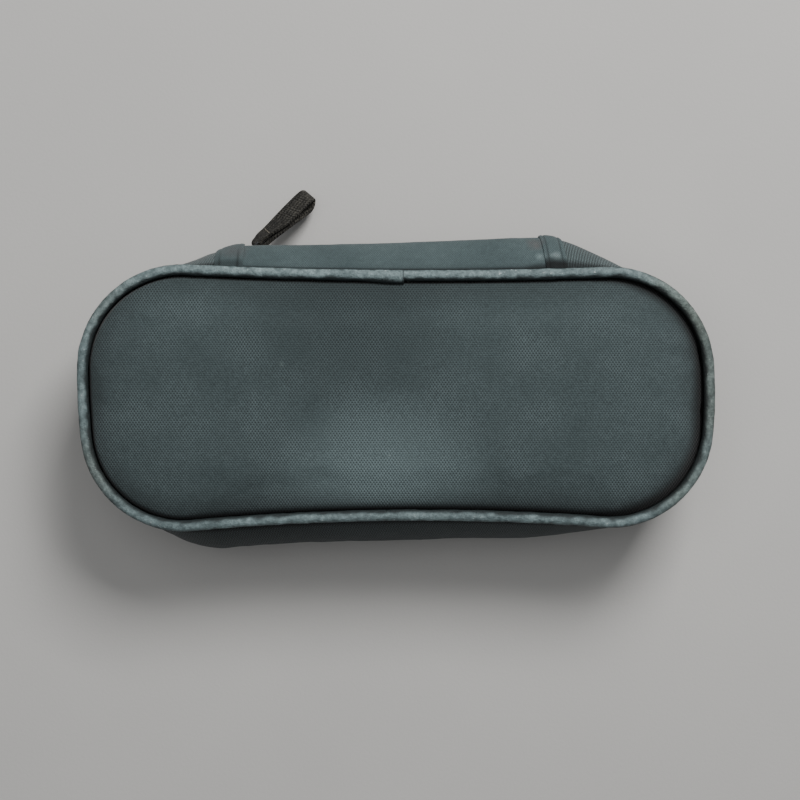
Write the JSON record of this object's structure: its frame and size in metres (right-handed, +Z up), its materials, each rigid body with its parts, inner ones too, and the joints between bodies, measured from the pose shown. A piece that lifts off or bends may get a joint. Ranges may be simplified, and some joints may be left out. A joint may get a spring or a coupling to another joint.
{
  "type": "cable organizer pouch",
  "caption": "Flat padded fabric pouch with piped edges and a zip along one long side, opened by a slider with a woven pull.",
  "frame": {"origin": "middle of the flat face of the base panel, on the surface the pouch lies on", "axes": "+X along the pouch, +Y out of the zip mouth, +Z up through the crowned top panel"},
  "size_m": [0.2224, 0.1326, 0.05],
  "materials": {
    "panel_fabric": "matte",
    "gusset_fabric": "matte",
    "band_fabric": "matte",
    "piping": "satin",
    "filler_cord": "matte",
    "foam": "matte",
    "lining": "matte",
    "binding": "matte",
    "zip_tape": "matte",
    "zip_coil": "satin",
    "zip_metal": "satin",
    "slider_metal": "satin",
    "pull_webbing": "matte",
    "mesh": "matte",
    "elastic": "matte",
    "stitching": "matte"
  },
  "bodies": {
    "pouch": {"top_cover": "panel_fabric", "base_cover": "panel_fabric", "top_foam": "foam", "base_foam": "foam", "top_lining": "lining", "base_lining": "lining", "gusset_lining": "lining", "upper_piping_cover": "piping", "lower_piping_cover": "piping", "upper_piping_cord": "filler_cord", "lower_piping_cord": "filler_cord", "upper_seam_binding": "binding", "lower_seam_binding": "binding", "left_gusset": "gusset_fabric", "back_gusset": "gusset_fabric", "right_gusset": "gusset_fabric", "lower_zip_band": "band_fabric", "upper_band_ends": "band_fabric", "lower_zip_tape": "zip_tape", "upper_tape_ends": "zip_tape", "lower_zip_coil": "zip_coil", "upper_coil_ends": "zip_coil", "top_stops": "zip_metal", "bottom_stop": "zip_metal", "mesh_pocket": "mesh", "pocket_binding": "binding", "elastic_strap": "elastic", "strap_bar_tacks": "stitching"},
    "upper_lip": {"upper_zip_band": "band_fabric", "upper_zip_tape": "zip_tape", "upper_zip_coil": "zip_coil"},
    "slider": {"slider_body": "slider_metal", "slider_bail": "slider_metal"},
    "pull_link": {"pull_link": "slider_metal"},
    "pull_tape": {"pull_tape": "pull_webbing"}
  },
  "joints": [
    {"name": "slider_travel", "type": "slide", "parent": "pouch", "child": "slider", "axis": [1, 0, 0], "range_m": [0, 0.095]},
    {"name": "pull_swing", "type": "hinge", "parent": "slider", "child": "pull_link", "pos_m": [-0.052, 0.05335, 0.0242], "axis": [0, 0, 1], "range_deg": [0, 96]},
    {"name": "pull_lift", "type": "hinge", "parent": "pull_link", "child": "pull_tape", "pos_m": [-0.0499, 0.05577, 0.0242], "axis": [0.7547, -0.6561, 0], "range_deg": [0, 38]},
    {"name": "mouth_lift", "type": "hinge", "parent": "pouch", "child": "upper_lip", "pos_m": [-0.0045, 0.0439, 0.0426], "axis": [1, 0, 0], "range_deg": [0, 60]}
  ]
}
